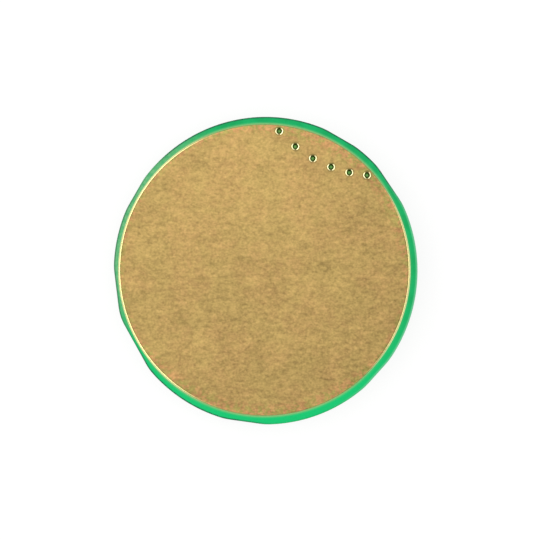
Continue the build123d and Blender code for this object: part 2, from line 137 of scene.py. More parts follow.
class Shell:
    """Rings of points and the faces between them."""

    def __init__(self):
        self.points = []
        self.faces = []

    def ring(self, points):
        start = len(self.points)
        self.points += points
        return list(range(start, len(self.points)))

    def wall(self, lower, upper):
        count = len(lower)
        for i in range(count):
            j = (i + 1) % count
            self.faces.append((lower[i], lower[j], upper[j], upper[i]))

    def walls(self, rings):
        for lower, upper in zip(rings, rings[1:]):
            self.wall(lower, upper)

    def cap(self, outer, holes=()):
        """Fills the flat face inside one ring and outside the round ones."""
        order, edges = [], []
        for loop in (outer, *holes):
            start, count = len(order), len(loop)
            order += loop
            edges += [(start + i, start + (i + 1) % count) for i in range(count)]
        flat = [Vector(self.points[index][:2]) for index in order]
        inside_only, near = 1, 1e-7
        _, _, triangles, source, _, _ = delaunay_2d_cdt(flat, edges, [], inside_only, near)
        rounds = []
        for loop in holes:
            rim = [Vector(self.points[index][:2]) for index in loop]
            middle = sum(rim, Vector((0, 0))) / len(rim)
            rounds.append((middle, (rim[0] - middle).length))
        for triangle in triangles:
            corners_in = [source[corner][0] for corner in triangle]
            centre = sum((flat[corner] for corner in corners_in), Vector((0, 0))) / 3
            if all((centre - middle).length > radius for middle, radius in rounds):
                self.faces.append(tuple(order[corner] for corner in corners_in))


def add_piece(name, shell, node, material, sharp_degrees=35):
    """A piece in place of a CAD node."""
    mesh = bpy.data.meshes.new(name)
    mesh.from_pydata([(x * MM, y * MM, z * MM) for x, y, z in shell.points], [], shell.faces)
    return finish_piece(name, mesh, node, material, sharp_degrees)


def new_object(name, data):
    made = bpy.data.objects.new(name, data)
    bpy.context.scene.collection.objects.link(made)
    return made


def finish_piece(name, mesh, node, material, sharp_degrees):
    work = bmesh.new()
    work.from_mesh(mesh)
    bmesh.ops.recalc_face_normals(work, faces=work.faces)
    work.to_mesh(mesh)
    work.free()
    mesh.shade_smooth()
    mesh.set_sharp_from_angle(angle=math.radians(sharp_degrees))
    piece = new_object(name, mesh)
    piece.data.materials.append(material)
    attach(piece, "root")
    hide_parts(node)
    return piece


def around(centre, radius, angle):
    return centre[0] + radius * math.cos(angle), centre[1] + radius * math.sin(angle)


def circle(centre, radius, z, count):
    return [(*around(centre, radius, 2 * math.pi / count * i), z) for i in range(count)]


FLAT_REACH = 0.5  # a flat cuts only where the cosine of the angle from its middle is above this
CORNER_SOFTENING = 6  # steps over which the routed flats run into the round edge
CORNER_PROUD = 0.004  # how far the softened outline may pass the unsoftened one


def outline_radius(angle):
    """From the outline's centre to the trimmed outline, in one direction."""
    half_x, half_y = OUTLINE_HALF
    radius = half_x * half_y / math.hypot(half_y * math.cos(angle), half_x * math.sin(angle))
    for direction, depth in TRIMMED_FLATS:
        facing = math.radians(direction)
        reach = math.hypot(half_x * math.cos(facing), half_y * math.sin(facing)) - depth
        across = math.cos(angle - facing)
        if across > FLAT_REACH:
            radius = min(radius, reach / across)
    return radius


def soft_outline():
    """The outline's radius at each step, with the corners of its flats rounded off."""
    step = 2 * math.pi / ROUND_STEPS
    radii = np.array([outline_radius(step * i) for i in range(ROUND_STEPS)])
    kernel = np.hanning(2 * CORNER_SOFTENING + 3)[1:-1]
    kernel /= kernel.sum()
    padded = np.concatenate([radii[-CORNER_SOFTENING:], radii, radii[:CORNER_SOFTENING]])
    return np.minimum(np.convolve(padded, kernel, mode="valid"), radii + CORNER_PROUD)


outline_radii = soft_outline()
outline_angles = np.arange(ROUND_STEPS) * 2 * math.pi / ROUND_STEPS


def outline_ring(z, torn=0.0):
    radii = (outline_radii - torn).tolist()
    return [(*around((0.0, 0.0), r, a), z) for r, a in zip(radii, outline_angles)]


# ---- node helpers


def paint(red, green, blue):
    """A colour written as 0 to 255, as Blender's linear colour."""
    linear = []
    for level in (red, green, blue):
        share = level / 255
        linear.append(share / 12.92 if share <= 0.04045 else ((share + 0.055) / 1.055) ** 2.4)
    return (*linear, 1.0)


def folded(operation):
    """A method that takes its values one after another through a math operation."""

    def method(self, first, *others):
        for other in others:
            first = self.math(operation, first, other)
        return first

    return method


class Nodes:
    """A node tree to add to."""

    def __init__(self, tree):
        self.tree = tree

    def node(self, kind, inputs, **settings):
        """A new node. inputs holds a link or a value for each input, by its name or number."""
        made = self.tree.nodes.new(kind)
        for name, value in settings.items():
            setattr(made, name, value)
        for key, value in inputs.items():
            self.put(made.inputs[key], value)
        return made

    def put(self, socket, value):
        if isinstance(value, bpy.types.NodeSocket):
            self.tree.links.new(value, socket)
        else:
            socket.default_value = value

    def math(self, operation, *values):
        inputs = dict(enumerate(values))
        return self.node("ShaderNodeMath", inputs, operation=operation).outputs[0]

    times, plus, less = folded("MULTIPLY"), folded("ADD"), folded("SUBTRACT")
    larger, smaller = folded("MAXIMUM"), folded("MINIMUM")


class Material(Nodes):
    """A node material whose patterns are laid out in millimetres of the row frame."""

    def __init__(self, name, **settings):
        self.made = bpy.data.materials.new(name)
        self.made.use_nodes = True
        super().__init__(self.made.node_tree)
        self.shader = self.tree.nodes["Principled BSDF"]
        for socket, value in settings.items():
            self.put(self.shader.inputs[socket.replace("_", " ")], value)
        self.place = self.shade(self.node("ShaderNodeTexCoord", {}).outputs["Object"], 1 / MM)
        self.x, self.y, self.z = self.split(self.place)

    def wave(self, value, length):
        return self.math("SINE", self.times(value, 2 * math.pi / length))

    def span(self, value, low, high, to_low=0.0, to_high=1.0, smooth=True):
        """Maps value from one span to another, held at the ends."""
        inputs = dict(enumerate((value, low, high, to_low, to_high)))
        curve = "SMOOTHSTEP" if smooth else "LINEAR"
        made = self.node("ShaderNodeMapRange", inputs, clamp=True, interpolation_type=curve)
        return made.outputs[0]

    def mix(self, share, *colours):
        """Mixes two colours. One that is written as three numbers has levels of 0 to 255."""
        a, b = (paint(*one) if isinstance(one, tuple) else one for one in colours)
        factor, first, second, result = 0, 6, 7, 2  # the sockets that a colour mix uses
        inputs = {factor: share, first: a, second: b}
        return self.node("ShaderNodeMix", inputs, data_type="RGBA").outputs[result]

    def shade(self, colour, factor):
        """A colour made lighter or darker by a number, or a place scaled by it."""
        inputs = {0: colour, "Scale": factor}
        return self.node("ShaderNodeVectorMath", inputs, operation="SCALE").outputs[0]

    def stretched(self, x=1.0, shift=(0.0, 0.0, 0.0)):
        """The place moved and scaled along X, which draws a pattern out or in."""
        inputs = {"Vector": self.place, "Scale": (x, 1.0, 1.0), "Location": shift}
        return self.node("ShaderNodeMapping", inputs).outputs[0]

    def split(self, vector):
        return list(self.node("ShaderNodeSeparateXYZ", {0: vector}).outputs)

    def vector(self, x, y, z):
        return self.node("ShaderNodeCombineXYZ", {0: x, 1: y, 2: z}).outputs[0]

    def noise(self, per_mm, detail=2.0, roughness=0.5, distortion=0.0, source=None):
        inputs = {"Vector": source or self.place, "Scale": per_mm, "Detail": detail}
        inputs.update({"Roughness": roughness, "Distortion": distortion})
        return self.node("ShaderNodeTexNoise", inputs).outputs["Fac"]

    def cells(self, per_mm, source=None):
        inputs = {"Vector": source or self.place, "Scale": per_mm}
        return self.node("ShaderNodeTexVoronoi", inputs).outputs["Distance"]

    def slope(self):
        """The direction that the surface falls towards, along X and Y."""
        x, y, _ = self.split(self.node("ShaderNodeNewGeometry", {}).outputs["Normal"])
        inputs = {0: self.vector(x, y, 0.0)}
        flat = self.node("ShaderNodeVectorMath", inputs, operation="NORMALIZE")
        return self.split(flat.outputs[0])[:2]

    def attribute(self, name):
        return self.node("ShaderNodeAttribute", {}, attribute_name=name).outputs["Fac"]

    def distance_from(self, centre):
        x, y = self.less(self.x, centre[0]), self.less(self.y, centre[1])
        inputs = {0: self.vector(x, y, 0.0)}
        return self.node("ShaderNodeVectorMath", inputs, operation="LENGTH").outputs["Value"]

    def towards(self, degrees, half_width, fade):
        """1 in the sector of the board around one direction, 0 outside it."""
        facing = math.radians(degrees)
        along_x = self.times(self.x, math.cos(facing))
        along_y = self.times(self.y, math.sin(facing))
        share = self.math("DIVIDE", self.plus(along_x, along_y), self.distance_from((0.0, 0.0)))
        outer = math.cos(math.radians(half_width + fade))
        inner = math.cos(math.radians(max(half_width - fade, 0)))
        return self.span(share, outer, inner)

    def zones(self, places):
        return self.larger(*(self.towards(*place) for place in places))

    def finish(self, colour, roughness, height, depth_mm):
        """Wires the looks to the shader and gives back the material."""
        inputs = {"Strength": 1.0, "Distance": depth_mm * MM, "Height": height}
        normal = self.node("ShaderNodeBump", inputs).outputs[0]
        self.put(self.shader.inputs["Base Color"], colour)
        self.put(self.shader.inputs["Roughness"], roughness)
        self.put(self.shader.inputs["Normal"], normal)
        return self.made


# ---- materials


GOLD_GRAIN = (  # repeats per millimetre, depth, how far each is drawn out along X
    (0.30, 0.11, 1.0),
    (0.75, 0.19, 0.9),
    (1.7, 0.20, 0.8),
    (3.6, 0.20, 0.7),
    (6.5, 0.42, 0.42),
    (7.0, 0.50, 1.0),
    (11.5, 0.50, 0.8),
)


GOLD_LEVEL = 1.03  # the grain's mean brightness
# Zones of the board: direction in degrees from +X, half the width, and the fade at the ends.
BLOTCHED = ((48, 40, 20), (-95, 45, 20))
LIT_LEFT, LIT_RIGHT = (178, 60, 14), (-8, 30, 14)
LIT_RIGHT_SHARE = 0.7  # how bright the lip's painted highlight is on the right, of what it is on the left
PAINTED_LINE_BAND = (0.11, 0.075, 0.3)  # painted shade: a dark line inside the lip: from and to the pad's edge, depth
PAINTED_RING_BAND = (0.14, 0.07, 0.3)  # painted shade: a dark ring around a via's mouth: from and to its wall, depth
# Painted shade and light across the pad: darker towards the right and below, lighter above.
PAINTED_SHADE_RIGHT, PAINTED_SHADE_BELOW, PAINTED_LIGHT_ABOVE = -0.12, -0.13, 0.09


def gold_grain(m, grain):
    level = GOLD_LEVEL
    for index, (per_mm, depth, drawn) in enumerate(GOLD_GRAIN):
        spread = m.stretched(x=drawn, shift=(3.1 * index, 1.7 * index, 0.0))
        octave = m.noise(per_mm, detail=0.6, distortion=0.3, source=spread)
        level = m.math("MULTIPLY_ADD", m.less(octave, 0.5), grain * depth, level)
    return level


def gold_tint(m, away, tarnish_and_painted_light):
    """Brown gold, blotched green and pink near its rim."""
    inner = m.span(m.zones(BLOTCHED), 0.0, 1.0, pad_radius - 0.45, pad_radius - 0.95)
    slow = m.noise(0.5, detail=3.0, source=m.stretched(shift=(11, 5, 2)))
    quick = m.noise(3.4, detail=3.0, roughness=0.8, source=m.stretched(x=0.8, shift=(4, 9, 6)))
    base = m.mix(m.span(slow, 0.4, 0.6), (189, 159, 98), (192, 157, 99))
    base = m.mix(m.span(quick, 0.35, 0.65, 0.0, 0.5), base, (184, 158, 94))
    patch = m.mix(m.span(quick, 0.42, 0.58), (168, 161, 88), (208, 152, 104))
    return m.mix(m.times(m.span(away, inner, pad_radius), 0.8 * tarnish_and_painted_light), base, patch)


def gold_material(name, grain, tarnish_and_painted_light):
    """Satin gold plating. grain scales its mottling, and tarnish_and_painted_light scales its
    blotches near the rim and its painted shade and highlights.
    """
    m = Material(name, Metallic=1.0)
    level = gold_grain(m, grain)
    away = m.distance_from(pad_centre)
    base = gold_tint(m, away, tarnish_and_painted_light)
    # Painted shade towards the right and below, and painted light above.
    across = m.span(m.x, -1.0, pad_radius, 0.0, PAINTED_SHADE_RIGHT * tarnish_and_painted_light)
    below, above = PAINTED_SHADE_BELOW * tarnish_and_painted_light, PAINTED_LIGHT_ABOVE * tarnish_and_painted_light
    up = m.span(m.y, -pad_radius, pad_radius, below, above, smooth=False)
    left, right = m.towards(*LIT_LEFT), m.towards(*LIT_RIGHT)
    # Painted shade: a dark line inside the lip, on its lit sides only.
    start, end, depth = PAINTED_LINE_BAND
    painted_dark_line = m.span(away, pad_radius - start, pad_radius - end, 0.0, depth * tarnish_and_painted_light)
    painted_dark_line = m.times(painted_dark_line, m.larger(left, right))
    # Painted shade: a dark ring around each via's mouth.
    start, end, depth = PAINTED_RING_BAND
    nearest = m.smaller(*(m.distance_from(place) for place, _ in via_places))
    painted_ring_shade = m.span(nearest, via_radius + start, via_radius + end, 0.0, depth)
    # The grain's brightness, with the painted shade gradient, dark line and rings worked in.
    grain_and_painted_shade = m.less(m.plus(level, across, up), m.larger(painted_dark_line, painted_ring_shade))
    # Painted highlights: the rolled lip and the vias' mouths are painted bright where they lean to
    # the left or right, and painted shadow darkens the mouths where they lean up or down.
    lip = m.span(m.z, contact_top - 0.001, contact_top - 0.007)
    inland = m.span(away, pad_radius - 0.07, pad_radius - 0.08)
    slope_x, slope_y = m.slope()
    leaning = m.plus(m.math("ABSOLUTE", slope_x), m.times(slope_y, 0.2))
    inland_lip = m.times(inland, m.times(lip, tarnish_and_painted_light))
    mouths = m.times(m.span(leaning, 0.28, 0.68), inland_lip)
    painted_mouth_shade = m.times(m.span(leaning, 0.5, 0.15), inland_lip)
    sides = m.larger(left, m.times(right, LIT_RIGHT_SHARE))
    sides = m.times(m.times(sides, 0.95), m.times(lip, tarnish_and_painted_light))
    painted_highlight = m.larger(sides, mouths)
    base = m.mix(m.times(painted_mouth_shade, 0.75), m.shade(base, grain_and_painted_shade), (74, 92, 48))
    painted_highlight_colour = m.mix(inland, (226, 219, 150), (250, 248, 190))
    fine = m.noise(9.0, detail=3.0, roughness=0.6)
    height = m.plus(m.times(level, 0.6), m.times(fine, 0.4))
    rough = m.span(painted_highlight, 0.0, 1.0, 0.42, 0.26)
    return m.finish(m.mix(painted_highlight, base, painted_highlight_colour), rough, height, 0.004)


# Painted light on the mask: brighter green below, and a painted sheen that greys and lightens it
# on the left.
BRIGHTER_BELOW, PAINTED_SHEEN_LEFT = (-90, 58, 26), (160, 32, 20)
MINT_ENDS = ((82, 46, 16), (-92, 44, 16))  # where the mask pales towards the pad
DARK_ENDS = ((80, 52, 12), (240, 26, 12))  # where painted shade darkens its outer edge most
# Painted shade on the outer edge at the left, and a painted highlight along it at the right.
DARK_LEFT, PAINTED_HIGHLIGHT_RIGHT = (176, 30, 14), (-12, 40, 16)
CREAM_SIDES = ((178, 58, 12), (-4, 34, 12))  # where its inner edge shines


def ring_mask_material():
    """Green mask around the pad. from_pad and from_edge are millimetres across the ring."""
    m = Material("mask_contact_side", Specular_IOR_Level=0.2)
    mottle = m.noise(1.1, detail=5.0, roughness=0.6)
    quick = m.noise(4.5, detail=3.0, roughness=0.6)
    from_pad = m.attribute("from_pad")
    from_edge = m.attribute("from_edge")
    green = m.mix(m.span(mottle, 0.32, 0.68), (4, 166, 90), (14, 180, 102))
    # Painted light: the green brighter below.
    green = m.mix(m.towards(*BRIGHTER_BELOW), green, (3, 199, 113))
    # Painted sheen: the green greyed and lightened on the left.
    painted_sheen = m.mix(m.span(quick, 0.35, 0.65), (88, 178, 116), (124, 194, 134))
    green = m.mix(m.times(m.towards(*PAINTED_SHEEN_LEFT), 0.85), green, painted_sheen)
    ends = m.zones(MINT_ENDS)
    mint = m.mix(m.span(from_pad, 0.0, 0.16), (152, 190, 120), (74, 198, 122))
    pale = m.times(m.span(from_pad, 0.2, 0.02), m.span(ends, 0, 1, 0.2, 0.95))
    green = m.mix(pale, green, mint)
    # The outer edge darkened a little all round, and further by painted shade at the top, lower
    # left and left.
    rim = m.times(m.span(from_edge, 0.10, 0.04), m.span(quick, 0.3, 0.7, 0.6, 1.0))
    dark = m.larger(m.zones(DARK_ENDS), m.times(m.towards(*DARK_LEFT), 0.6))
    rim = m.times(rim, m.span(dark, 0, 1, 0.25, 1.0))
    green = m.mix(rim, green, (16, 84, 64))
    # Painted highlight along the outer edge at the right.
    painted_highlight = m.times(m.span(from_edge, 0.13, 0.04), m.towards(*PAINTED_HIGHLIGHT_RIGHT))
    green = m.mix(m.times(painted_highlight, 0.75), green, (112, 206, 154))
    cream = m.times(m.span(from_pad, 0.055, 0.03), m.zones(CREAM_SIDES))
    green = m.mix(m.times(cream, 0.95), green, (240, 242, 186))
    green = m.shade(green, m.span(m.noise(14.0), 0.3, 0.7, 0.96, 1.04))
    orange_peel = m.noise(2.4, detail=4.0, roughness=0.55)
    return m.finish(green, m.span(mottle, 0.3, 0.7, 0.36, 0.48), orange_peel, 0.006)


WARP, WEFT = 0.52, 0.44  # the glass cloth's repeat along X and Y, seen through the mask
PLUG_BASE = 0.25  # above the component face, where the mask's plugs have left the board's face


def back_mask_material():
    """Green mask on the component side: lighter over copper, duller where it plugs the vias."""
    m = Material("mask_component_side", Specular_IOR_Level=0.35)
    mottle = m.noise(1.1, detail=5.0, roughness=0.6)
    weave = m.times(m.wave(m.x, WARP), m.wave(m.y, WEFT))
    over = m.span(m.z, component_face - 0.045, component_face - 0.085)
    bare = m.mix(m.span(mottle, 0.32, 0.68), (14, 150, 82), (26, 166, 94))
    bare = m.shade(bare, m.span(weave, -1.0, 1.0, 0.94, 1.06))
    light = m.mix(m.span(mottle, 0.32, 0.68), (40, 184, 100), (66, 198, 114))
    green = m.mix(over, bare, light)
    plugged = m.span(m.z, component_face + 0.05, component_face + PLUG_BASE)
    green = m.mix(plugged, green, (112, 178, 92))
    green = m.shade(green, m.span(m.noise(14.0), 0.3, 0.7, 0.95, 1.05))
    height = m.plus(m.noise(2.4, detail=4.0, roughness=0.55), m.times(weave, 0.12))
    return m.finish(green, m.span(mottle, 0.3, 0.7, 0.28, 0.4), height, 0.006)


PLY = 0.19  # thickness of one ply of glass cloth


def laminate_material():
    """Glass and epoxy: the routed edge shows the plies and the cut ends of their yarns."""
    m = Material("laminate_glass_epoxy", Specular_IOR_Level=0.35)
    turn = m.math("ARCTAN2", m.y, m.x)
    along = m.times(turn, OUTLINE_HALF[0])
    yarns = m.cells(1.35, source=m.vector(along, m.times(m.z, 5.2), 0.0))
    drawn = m.vector(along, m.times(m.z, 3.0), 1.0)
    strands = m.noise(9.0, detail=4.0, roughness=0.7, source=drawn)
    ply_line = m.span(m.wave(m.z, PLY), 0.55, 1.0)
    base = m.mix(m.span(yarns, 0.1, 0.62), (214, 207, 162), (186, 180, 122))
    base = m.mix(m.times(ply_line, 0.5), base, (156, 152, 96))
    base = m.mix(m.span(strands, 0.55, 0.75, 0.0, 0.55), base, (234, 230, 208))
    height = m.less(m.times(strands, 0.6), m.times(ply_line, 0.4))
    return m.finish(base, m.span(strands, 0.3, 0.7, 0.5, 0.75), height, 0.02)


def metal_material(name, low, high, rough, streak, bump_mm):
    """Plated or solidified metal with a fine crystalline grain. streak stretches it along X."""
    m = Material(name, Metallic=1.0)
    grain = m.noise(5.5, detail=5.0, roughness=0.65, source=m.stretched(x=streak))
    spots = m.cells(7.0)
    level = m.plus(m.times(grain, 0.8), m.times(spots, 0.2))
    height = m.noise(11.0, detail=3.0, roughness=0.6, source=m.stretched(x=streak))
    rough = m.span(level, 0.3, 0.75, rough[1], rough[0])
    return m.finish(m.mix(m.span(level, 0.3, 0.75), low, high), rough, height, bump_mm)


def moulding_material():
    """Black moulding compound with filler specks and a fine spark-eroded texture."""
    m = Material("moulding_compound", Specular_IOR_Level=0.42)
    filler = m.cells(26.0)
    cloud = m.noise(1.6, detail=4.0, roughness=0.6)
    base = m.mix(m.span(cloud, 0.3, 0.7), (29, 29, 31), (43, 43, 45))
    base = m.mix(m.span(filler, 0.0, 0.22, 0.4, 0.0), base, (78, 78, 78))
    height = m.noise(28.0, detail=2.0, roughness=0.6)
    return m.finish(base, m.span(cloud, 0.3, 0.7, 0.62, 0.5), height, 0.006)


def ceramic_material(name, low, high, fleck, rough, per_mm):
    m = Material(name, Specular_IOR_Level=0.4)
    cloud = m.noise(per_mm, detail=4.0, roughness=0.65)
    flecks = m.cells(18.0)
    base = m.mix(m.span(cloud, 0.32, 0.68), low, high)
    base = m.mix(m.span(flecks, 0.0, 0.2, 0.45, 0.0), base, fleck)
    height = m.noise(16.0, detail=3.0, roughness=0.6)
    return m.finish(base, m.span(cloud, 0.3, 0.7, rough + 0.06, rough - 0.06), height, 0.004)


def ink_material():
    """White legend ink, thinner and greener here and there."""
    m = Material("legend_ink", Specular_IOR_Level=0.3)
    thin = m.noise(6.0, detail=5.0, roughness=0.7)
    ink = m.mix(m.span(thin, 0.5, 0.74, 0.0, 0.4), (238, 239, 233), (186, 214, 190))
    return m.finish(ink, m.span(thin, 0.3, 0.7, 0.5, 0.62), thin, 0.005)


gold_face = gold_material("gold_contact_face", grain=1.0, tarnish_and_painted_light=1.0)
gold_lands = gold_material("gold_battery_lands", grain=0.35, tarnish_and_painted_light=0.0)
gold_vias = metal_material(
    "gold_via_walls", (164, 136, 74), (206, 176, 110), (0.3, 0.42), 1.0, 0.004
)
ring_mask = ring_mask_material()
back_mask = back_mask_material()
laminate_edge = laminate_material()
copper = metal_material("bare_copper", (184, 112, 76), (214, 142, 104), (0.35, 0.5), 1.0, 0.005)
tin = metal_material("matte_tin", (186, 186, 184), (216, 216, 213), (0.3, 0.45), 0.35, 0.005)
solder = metal_material(
    "reflowed_solder", (190, 192, 195), (222, 223, 225), (0.16, 0.3), 1.0, 0.008
)
moulding = moulding_material()
alumina = ceramic_material("alumina", (222, 220, 212), (238, 236, 230), (196, 193, 184), 0.5, 3.0)
glaze = ceramic_material("resistor_glaze", (20, 20, 22), (34, 34, 37), (52, 52, 56), 0.26, 2.4)
capacitor_ceramic = ceramic_material(
    "capacitor_ceramic", (146, 112, 80), (170, 134, 100), (122, 92, 64), 0.42, 3.4
)


# ---- contact side

LIP_TILT = math.radians(25)  # the slope of the pad's rolled edge
LIP_EASE = 0.22  # share of the lip's width over which the slope sets in
LIP_EASE_AT = (0.33, 0.66, 1.0)
LIP_WIDTH = 0.06
MOUTH_WIDTH = 0.065
NOSE = 0.012  # rounding below the sloping lip
NOSE_STEPS = 4
FLAT_SUPPORT = 0.002  # flat ring that keeps the open face's shading flat


def lip_profile(width):
    """Steps outwards and down from the flat face: a soft slope, then a tight turn down."""
    steps = [(0.0, 0.0)]
    ease = width * LIP_EASE
    for share in LIP_EASE_AT:
        out = ease * share
        steps.append((out, 0.5 * math.tan(LIP_TILT) * out * share))
    run = width - NOSE
    drop = steps[-1][1] + (run - ease) * math.tan(LIP_TILT)
    steps.append((run, drop))
    start = math.pi / 2 - LIP_TILT
    for step in range(1, NOSE_STEPS + 1):
        turn = start * (1 - step / NOSE_STEPS)
        out = run + NOSE * (math.cos(turn) - math.cos(start)) / (1 - math.cos(start))
        down = drop + NOSE * (math.sin(start) - math.sin(turn))
        steps.append((out, down))
    return steps


def make_contact_pad():
    shell = Shell()
    rim = lip_profile(LIP_WIDTH)
    outer = [shell.ring(circle(pad_centre, pad_radius, contact_face, ROUND_STEPS))]
    for out, down in reversed(rim):
        radius = pad_radius - LIP_WIDTH + out
        outer.append(shell.ring(circle(pad_centre, radius, contact_top - down, ROUND_STEPS)))
    flat = pad_radius - LIP_WIDTH - FLAT_SUPPORT
    outer.append(shell.ring(circle(pad_centre, flat, contact_top, ROUND_STEPS)))
    shell.walls(outer)
    bottoms, mouths = [], []
    for place, _ in via_places:
        rings = [shell.ring(circle(place, via_radius, contact_face, VIA_STEPS))]
        for out, down in reversed(lip_profile(MOUTH_WIDTH)):
            radius = via_radius + MOUTH_WIDTH - out
            rings.append(shell.ring(circle(place, radius, contact_top - down, VIA_STEPS)))
        flat = via_radius + MOUTH_WIDTH + FLAT_SUPPORT
        rings.append(shell.ring(circle(place, flat, contact_top, VIA_STEPS)))
        shell.walls(rings)
        bottoms.append(rings[0])
        mouths.append(rings[-1])
    shell.cap(outer[-1], mouths)
    shell.cap(outer[0], bottoms)
    add_piece("gold_face", shell, "contact_pad", gold_face)


def make_via_walls():
    for index, (place, outer_radius) in enumerate(via_places, start=1):
        shell = Shell()
        low, high = barrel_foot, contact_face
        section = (via_radius, low), (outer_radius, low), (outer_radius, high), (via_radius, high)
        rings = [shell.ring(circle(place, radius, z, VIA_STEPS)) for radius, z in section]
        shell.walls([*rings, rings[0]])
        node = f"via_barrel_{index}"
        add_piece(f"via_wall_{index}", shell, node, gold_vias)


RIM_CUTS = 11  # points put into each straight run along a round edge
RIM_WITHIN = 0.012  # how near the outline an edge lies to be part of it
INNER_RIM_FROM = 7.4  # radius past which a level edge belongs to a round edge of the raised mask
INNER_RIM_MATCH = 1e-3


def round_rims(work):
    """Puts more points into the long straight runs of a CAD mesh's outer round edges."""

    def place(vertex):
        x, y = vertex.co.x / MM, vertex.co.y / MM
        radius = math.hypot(x, y)
        angle = math.atan2(y, x) % (2 * math.pi)
        edge = float(np.interp(angle, outline_angles, outline_radii, period=2 * math.pi))
        return radius, edge

    runs = {}
    for edge in work.edges:
        level = abs(edge.verts[0].co.z - edge.verts[1].co.z) < SAME_PLACE * MM
        if not level or edge.calc_face_angle(0) < CORNER_ANGLE:
            continue
        (radius_a, edge_a), (radius_b, edge_b) = (place(vertex) for vertex in edge.verts)
        if radius_a > edge_a - RIM_WITHIN and radius_b > edge_b - RIM_WITHIN:
            runs.setdefault("outline", []).append(edge)
            continue
        alike = abs(radius_a - radius_b) < INNER_RIM_MATCH
        if alike and min(radius_a, radius_b) > INNER_RIM_FROM:
            runs.setdefault(round((radius_a + radius_b) / 2, 3), []).append(edge)
    for target, edges in runs.items():
        made = bmesh.ops.subdivide_edges(work, edges=edges, cuts=RIM_CUTS, use_single_edge=True)
        for vertex in made["geom_inner"]:
            if isinstance(vertex, bmesh.types.BMVert):
                radius, edge = place(vertex)
                wanted = edge if target == "outline" else target
                vertex.co.x *= wanted / radius
                vertex.co.y *= wanted / radius


PLUG_CROWN = 0.07  # contact face down to the top of each domed plug of mask
PLUG_SHORE = 0.30  # contact face down to where the plug meets the via's wall
PLUG_GAP = 0.001  # between a plug and the via's wall
PLUG_STEPS = 9  # rings of points up a dome


def merged_mesh(node):
    """A CAD node's mesh to work on, its points merged where its faces meet."""
    work = bmesh.new()
    work.from_mesh(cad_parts[node].data)
    bmesh.ops.remove_doubles(work, verts=work.verts, dist=SAME_PLACE * MM)
    return work


def make_back_mask():
    """The CAD mask, with the flat ends of its via plugs drawn up into domes."""
    work = merged_mesh("component_side_mask")
    ends = [v for v in work.verts if v.co.z > (component_face + PLUG_BASE) * MM]
    bmesh.ops.delete(work, geom=ends, context="VERTS")
    bmesh.ops.holes_fill(work, edges=[e for e in work.edges if e.is_boundary], sides=0)
    round_rims(work)
    shell = Shell()
    for place, _ in via_places:
        radius = via_radius - PLUG_GAP
        rings = [shell.ring(circle(place, radius, barrel_foot, VIA_STEPS))]
        for step in range(PLUG_STEPS):
            share = math.cos(math.pi / 2 * step / PLUG_STEPS)
            down = PLUG_CROWN + (PLUG_SHORE - PLUG_CROWN) * share**4
            rings.append(shell.ring(circle(place, radius * share, contact_face - down, VIA_STEPS)))
        shell.walls(rings)
        shell.faces += [tuple(rings[0]), tuple(rings[-1])]
    made = [work.verts.new(Vector(point) * MM) for point in shell.points]
    for face in shell.faces:
        work.faces.new([made[index] for index in face])
    mesh = bpy.data.meshes.new("mask_component_side")
    work.to_mesh(mesh)
    work.free()
    piece = finish_piece(
        "mask_component_side", mesh, "component_side_mask", back_mask, 35
    )
    for face in piece.data.polygons:
        face.use_smooth = face.center.z > (component_face + PLUG_BASE) * MM


RING_GAP = 0.01  # the mask's opening beyond the pad
# The mask's section from its opening to the outer edge: shares of its width and of its height.
RING_SHORE = ((0.0, 0.0), (0.0, 0.55), (0.04, 0.80), (0.10, 0.92))
RING_FALL = ((0.78, 0.94), (0.88, 0.80), (0.95, 0.58), (1.0, 0.28), (1.0, 0.0))
RING_CROWN = 0.45  # share of the way across at which the mask is thickest
DOME_FROM, DOME_WIDTH = 0.10, 0.65
DOME_FALL, DOME_REACH = 0.25, 0.35  # how far it falls at this distance from the crown
RING_STATIONS = 9
RING_SHARP = 60  # degrees


def ring_section():
    low_dome = []
    for step in range(1, RING_STATIONS):
        share = DOME_FROM + DOME_WIDTH * step / RING_STATIONS
        low_dome.append((share, 1.0 - DOME_FALL * (share - RING_CROWN) ** 2 / DOME_REACH**2))
    return [*RING_SHORE, *low_dome, *RING_FALL]


def make_mask_ring():
    """The mask lies in a very low dome between its opening and the board's edge."""
    shell = Shell()
    inner_radius = pad_radius + RING_GAP
    thickness = ring_top - contact_face
    outer = [point[:2] for point in outline_ring(0.0)]
    angles = [math.atan2(y - pad_centre[1], x - pad_centre[0]) for x, y in outer]
    inner = [around(pad_centre, inner_radius, angle) for angle in angles]
    widths = [math.dist(one, other) for one, other in zip(inner, outer)]
    rings, from_pad, from_edge = [], [], []
    for share, height in ring_section():
        ring = [
            (xi + (xo - xi) * share, yi + (yo - yi) * share, contact_face + thickness * height)
            for (xi, yi), (xo, yo) in zip(inner, outer)
        ]
        rings.append(shell.ring(ring))
        from_pad += [width * share for width in widths]
        from_edge += [width * (1 - share) for width in widths]
    shell.walls([*rings, rings[0]])
    node = "contact_side_mask"
    piece = add_piece("mask_ring", shell, node, ring_mask, RING_SHARP)
    for name, values in (("from_pad", from_pad), ("from_edge", from_edge)):
        piece.data.attributes.new(name, "FLOAT", "POINT").data.foreach_set("value", values)


EDGE_LEVELS = 14  # rows of points up the laminate's edge
FIBRE_DEPTH = 0.012  # how far the routed edge is torn back between its yarns
WIDE_YARNS = (97, 9)  # waves around the board, and how far they lean over its thickness
NARROW_YARNS = (211, 23)
WIDE_TEAR, NARROW_TEAR = 0.35, 0.3  # each wave's mean share of the depth
PLIES = 4
EDGE_EASE = 6  # the tears fade out over one part in this of the thickness
LAMINATE_SHARP = 50  # degrees


def wave(around, lean, share):
    return 1 + np.sin(outline_angles * around + share * lean)


